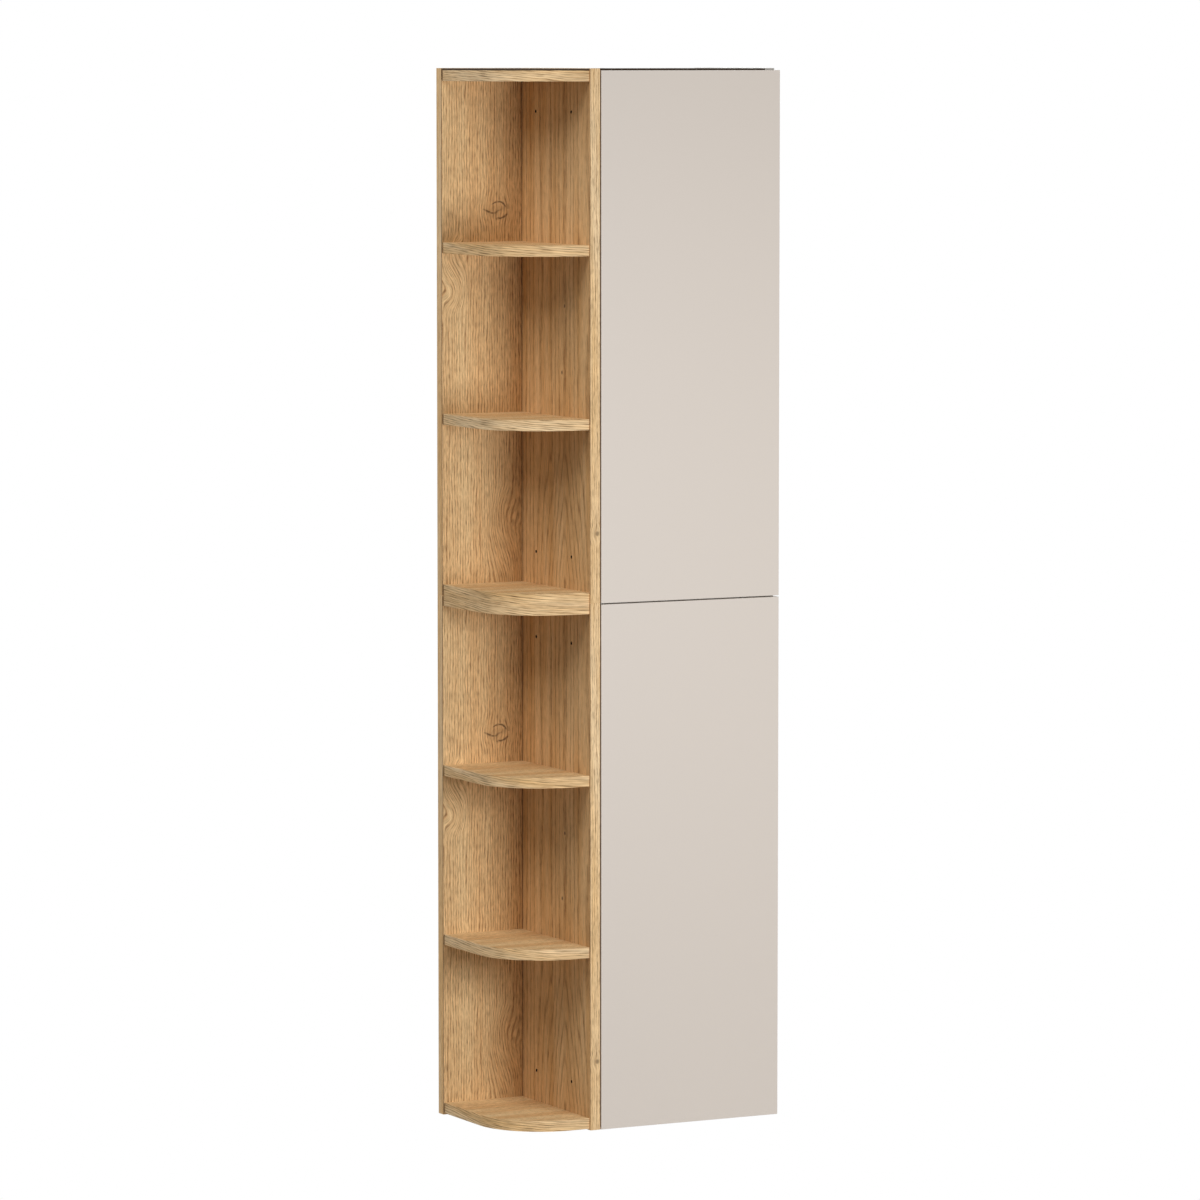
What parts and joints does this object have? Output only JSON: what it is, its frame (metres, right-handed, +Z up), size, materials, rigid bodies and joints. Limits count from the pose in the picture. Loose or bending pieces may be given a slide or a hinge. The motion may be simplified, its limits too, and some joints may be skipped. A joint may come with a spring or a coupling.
{
  "type": "wall column cabinet",
  "caption": "Tall wall-hung column cabinet: closed taupe boxes with handleless doors beside an open oak-look end unit with rounded shelves.",
  "frame": {"origin": "centre of the bounding box's underside: mid width, mid depth, level with the underside of the side panels", "axes": "+X to the right seen from the front, +Y into the wall, +Z up"},
  "size_m": [0.45, 0.24, 1.568],
  "materials": {
    "oak_decor_board": "warm oak decor on chipboard, matt, with brown knots and swirled grain",
    "taupe_matt_front": "plain matt taupe foil on board, soft edges",
    "pale_melamine_board": "pale grey melamine on chipboard, fine pearl texture",
    "white_hardboard": "thin hardboard, painted pale",
    "dark_cover_sheet": "dark brown laminate sheet, matt",
    "beech": "raw turned beech",
    "zinc_casting": "plain zinc casting",
    "nickel_plated_steel": "bright nickel plate on pressed steel",
    "grey_moulded_plastic": "grey moulded plastic",
    "dark_moulded_plastic": "dark grey moulded plastic",
    "galvanised_steel": "galvanised sheet steel",
    "spring_steel": "drawn spring wire",
    "zinc_plated_screws": "zinc plate, clear passivated"
  },
  "bodies": {
    "cabinet": {"box_dowels": "beech", "box_stacking_screws": "zinc_plated_screws", "box_top_cover": "dark_cover_sheet", "cam_bolts": "zinc_plated_screws", "cam_housings": "zinc_casting", "fitting_screws": "zinc_plated_screws", "hanging_brackets": "grey_moulded_plastic", "hanging_hooks": "galvanised_steel", "hinge_arm_pins": "nickel_plated_steel", "hinge_arm_screws": "zinc_plated_screws", "hinge_arms": "nickel_plated_steel", "hinge_mounting_plates": "nickel_plated_steel", "latch_springs": "spring_steel", "lower_box_back_panel": "white_hardboard", "lower_box_bottom_panel": "pale_melamine_board", "lower_box_high_shelf": "pale_melamine_board", "lower_box_left_side": "pale_melamine_board", "lower_box_low_shelf": "pale_melamine_board", "lower_box_right_side": "pale_melamine_board", "lower_box_top_panel": "pale_melamine_board", "lower_oak_back_panel": "oak_decor_board", "lower_oak_bottom_board": "oak_decor_board", "lower_oak_high_shelf": "oak_decor_board", "lower_oak_low_shelf": "oak_decor_board", "lower_oak_side_panel": "oak_decor_board", "lower_oak_top_board": "oak_decor_board", "open_unit_dowels": "beech", "open_unit_screws": "zinc_plated_screws", "open_unit_top_cover": "dark_cover_sheet", "push_latch_bodies": "grey_moulded_plastic", "shelf_pins": "nickel_plated_steel", "unit_fixing_screws": "zinc_plated_screws", "upper_box_back_panel": "white_hardboard", "upper_box_bottom_panel": "pale_melamine_board", "upper_box_high_shelf": "pale_melamine_board", "upper_box_left_side": "pale_melamine_board", "upper_box_low_shelf": "pale_melamine_board", "upper_box_right_side": "pale_melamine_board", "upper_box_top_panel": "pale_melamine_board", "upper_oak_back_panel": "oak_decor_board", "upper_oak_bottom_board": "oak_decor_board", "upper_oak_high_shelf": "oak_decor_board", "upper_oak_low_shelf": "oak_decor_board", "upper_oak_side_panel": "oak_decor_board", "upper_oak_top_board": "oak_decor_board", "wall_rails": "galvanised_steel"},
    "upper_hinge_links": {"upper_hinge_links": "nickel_plated_steel"},
    "upper_door": {"upper_door": "taupe_matt_front", "upper_hinge_cup_pins": "nickel_plated_steel", "upper_hinge_cup_screws": "zinc_plated_screws", "upper_hinge_cups": "nickel_plated_steel", "upper_latch_strike": "galvanised_steel"},
    "lower_hinge_links": {"lower_hinge_links": "nickel_plated_steel"},
    "lower_door": {"lower_door": "taupe_matt_front", "lower_hinge_cup_pins": "nickel_plated_steel", "lower_hinge_cup_screws": "zinc_plated_screws", "lower_hinge_cups": "nickel_plated_steel", "lower_latch_strike": "galvanised_steel"},
    "upper_latch_plunger": {"upper_latch_plunger": "dark_moulded_plastic"},
    "lower_latch_plunger": {"lower_latch_plunger": "dark_moulded_plastic"}
  },
  "joints": [
    {"name": "lower_door_hinge", "type": "hinge", "parent": "lower_hinge_links", "child": "lower_door", "pos_m": [0.2135, -0.107, 0.39075], "axis": [0, 0, 1], "range_deg": [0, 133]},
    {"name": "lower_link_pivot", "type": "hinge", "parent": "cabinet", "child": "lower_hinge_links", "pos_m": [0.191, -0.099, 0.39075], "axis": [0, 0, 1], "range_deg": [-38, 0]},
    {"name": "lower_latch_press", "type": "slide", "parent": "cabinet", "child": "lower_latch_plunger", "axis": [0, 1, 0], "range_m": [0, 0.002], "stiffness_N_per_m": 400},
    {"name": "upper_door_hinge", "type": "hinge", "parent": "upper_hinge_links", "child": "upper_door", "pos_m": [0.2135, -0.107, 1.17425], "axis": [0, 0, 1], "range_deg": [0, 133]},
    {"name": "upper_link_pivot", "type": "hinge", "parent": "cabinet", "child": "upper_hinge_links", "pos_m": [0.191, -0.099, 1.17425], "axis": [0, 0, 1], "range_deg": [-38, 0]},
    {"name": "upper_latch_press", "type": "slide", "parent": "cabinet", "child": "upper_latch_plunger", "axis": [0, 1, 0], "range_m": [0, 0.002], "stiffness_N_per_m": 400}
  ],
  "couplings": [
    {"joint": "lower_door_hinge", "follows": "lower_link_pivot", "ratio": -3.5},
    {"joint": "upper_door_hinge", "follows": "upper_link_pivot", "ratio": -3.5}
  ]
}
